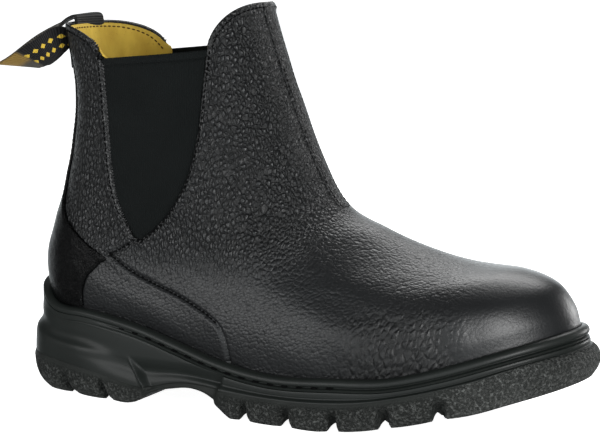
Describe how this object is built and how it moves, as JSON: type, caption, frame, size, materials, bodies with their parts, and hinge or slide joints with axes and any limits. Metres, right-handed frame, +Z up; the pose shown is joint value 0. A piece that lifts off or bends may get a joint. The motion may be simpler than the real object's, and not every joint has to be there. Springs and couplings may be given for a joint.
{
  "type": "safety boot",
  "caption": "Ankle-high black leather pull-on safety boot with elastic side gores, a rounded toe cap, a pull loop at the back and a chunky lugged sole.",
  "frame": {"origin": "middle of the flat heel tread, on the floor", "axes": "+X forward to the toe, +Y to the wearer's left (the inner side of this right boot), +Z up"},
  "size_m": [0.3136, 0.1118, 0.1933],
  "materials": {
    "pebbled_leather": "black full-grain leather with a coarse pebble grain and a soft sheen",
    "smooth_leather": "black smooth leather, stretched over the heel stiffener",
    "elastic": "black ribbed elastic cloth",
    "loop_tape": "dark woven tape with a pale ribbed edge",
    "sole_rubber": "smooth charcoal moulded rubber",
    "tread_rubber": "rough charcoal moulded rubber",
    "lining": "ochre pigskin lining, matt"
  },
  "bodies": {
    "root": {"upper": "pebbled_leather", "gore_outer": "elastic", "gore_inner": "elastic", "heel_counter": "smooth_leather", "front_strap": "pebbled_leather", "pull_loop": "loop_tape", "welt": "sole_rubber", "midsole": "sole_rubber", "outsole": "tread_rubber", "insole": "lining"}
  },
  "joints": []
}
